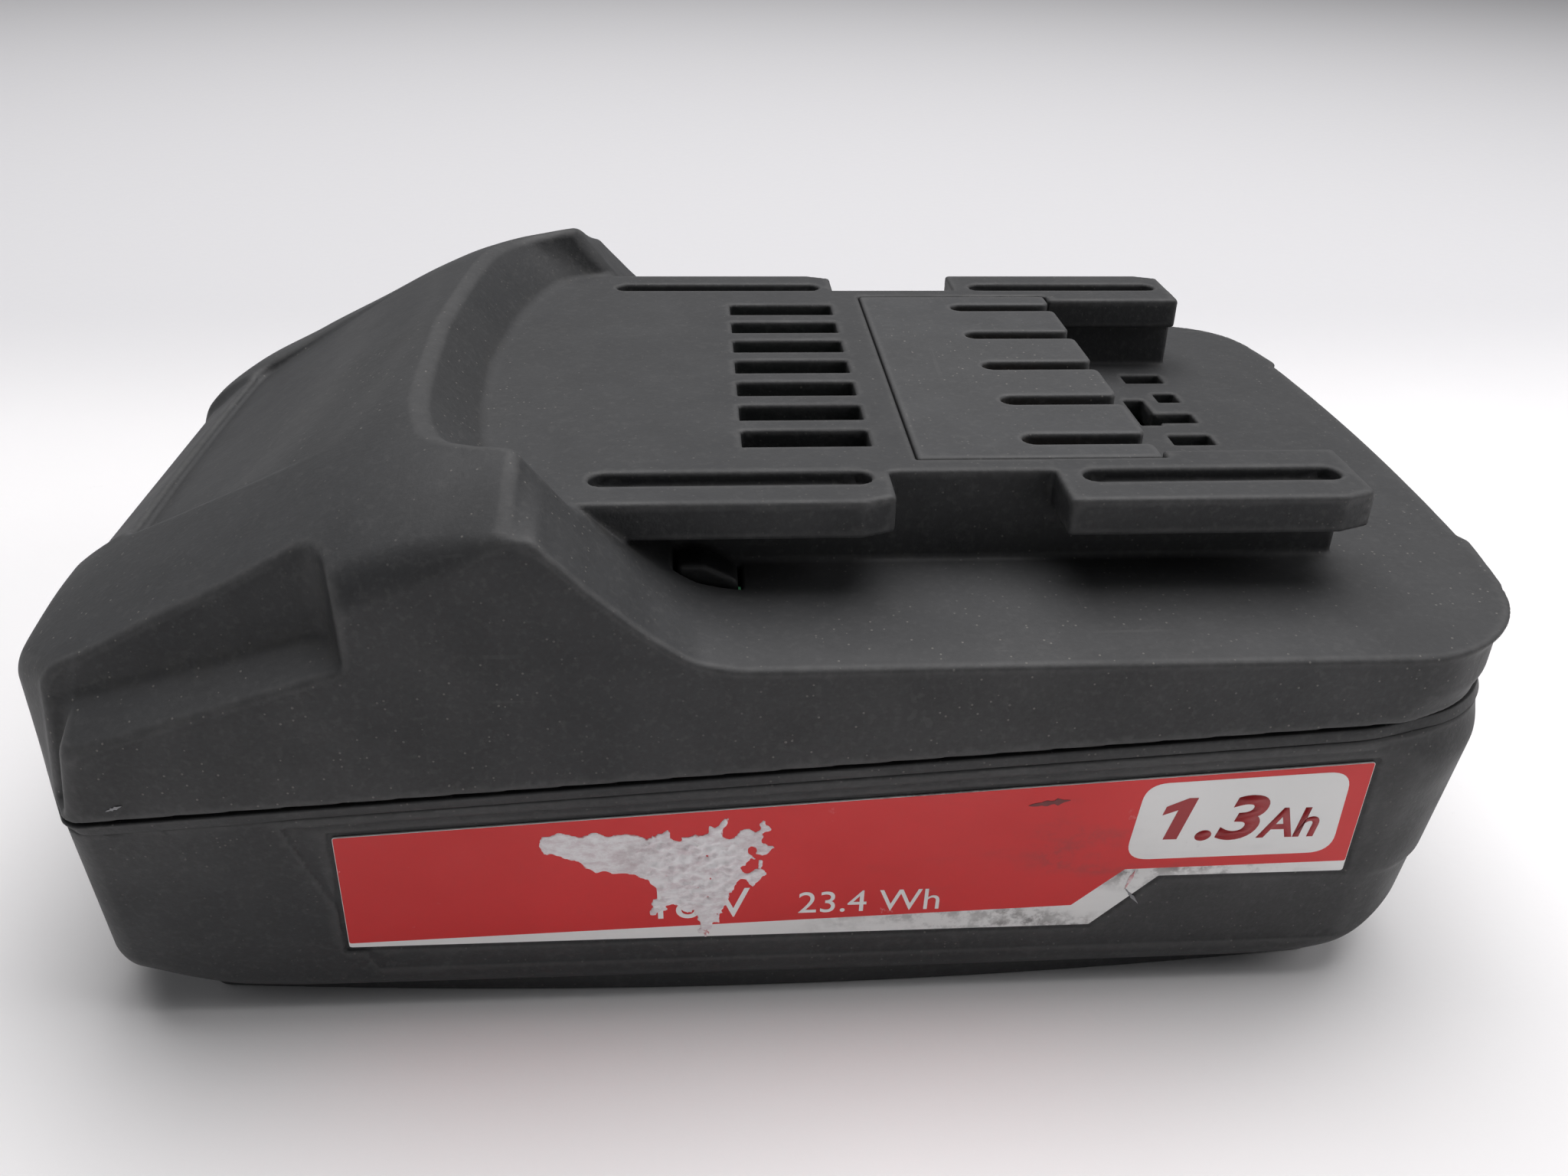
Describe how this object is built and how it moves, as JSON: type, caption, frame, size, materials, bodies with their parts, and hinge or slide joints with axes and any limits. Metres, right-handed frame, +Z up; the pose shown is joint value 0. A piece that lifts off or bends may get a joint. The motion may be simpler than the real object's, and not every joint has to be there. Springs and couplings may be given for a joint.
{
  "type": "cordless tool battery pack",
  "caption": "Slide-on lithium-ion battery pack for cordless power tools, with rail pairs, a slotted terminal block and a sprung release latch.",
  "frame": {"origin": "on the surface that the pack rests on, below the middle of its outside box", "axes": "+X along the pack towards the terminal end, which enters the tool first; +Y to the left side; +Z up through the rails"},
  "size_m": [0.1205, 0.0778, 0.0492],
  "materials": {
    "shell_plastic": "matte, fine spark-eroded grain",
    "terminal_plastic": "satin",
    "latch_plastic": "satin",
    "label_print": "worn semi-gloss film",
    "cell_wrap": "shrink sleeve",
    "holder_plastic": "matte",
    "nickel_strip": "rolled",
    "contact_copper": "bright stamped",
    "board_laminate": "solder resist",
    "insulating_paper": "pressed fibre",
    "sensor_epoxy": "dipped",
    "spring_steel": "drawn wire",
    "screw_steel": "zinc plated"
  },
  "bodies": {
    "pack": {"upper_shell": "shell_plastic", "lower_shell": "shell_plastic", "terminal_block": "terminal_plastic", "circuit_board": "board_laminate", "temperature_sensor": "sensor_epoxy", "contact_1": "contact_copper", "contact_2": "contact_copper", "contact_3": "contact_copper", "contact_4": "contact_copper", "contact_5": "contact_copper", "cell_1": "cell_wrap", "cell_2": "cell_wrap", "cell_3": "cell_wrap", "cell_4": "cell_wrap", "cell_5": "cell_wrap", "cell_holder_left": "holder_plastic", "insulator_left": "insulating_paper", "label_left": "label_print", "latch_spring_left": "spring_steel", "busbar_left_1": "nickel_strip", "busbar_left_2": "nickel_strip", "busbar_left_3": "nickel_strip", "shell_screw_front_left": "screw_steel", "shell_screw_rear_left": "screw_steel", "cell_holder_right": "holder_plastic", "insulator_right": "insulating_paper", "label_right": "label_print", "latch_spring_right": "spring_steel", "busbar_right_1": "nickel_strip", "busbar_right_2": "nickel_strip", "busbar_right_3": "nickel_strip", "shell_screw_front_right": "screw_steel", "shell_screw_rear_right": "screw_steel"},
    "latch": {"release_latch": "latch_plastic"}
  },
  "joints": [
    {"name": "latch_press", "type": "slide", "parent": "pack", "child": "latch", "axis": [0, 0, -1], "range_m": [0, 0.0032], "stiffness_N_per_m": 1500, "springref_m": -0.0015, "deforming": ["latch_spring_left", "latch_spring_right"]}
  ]
}
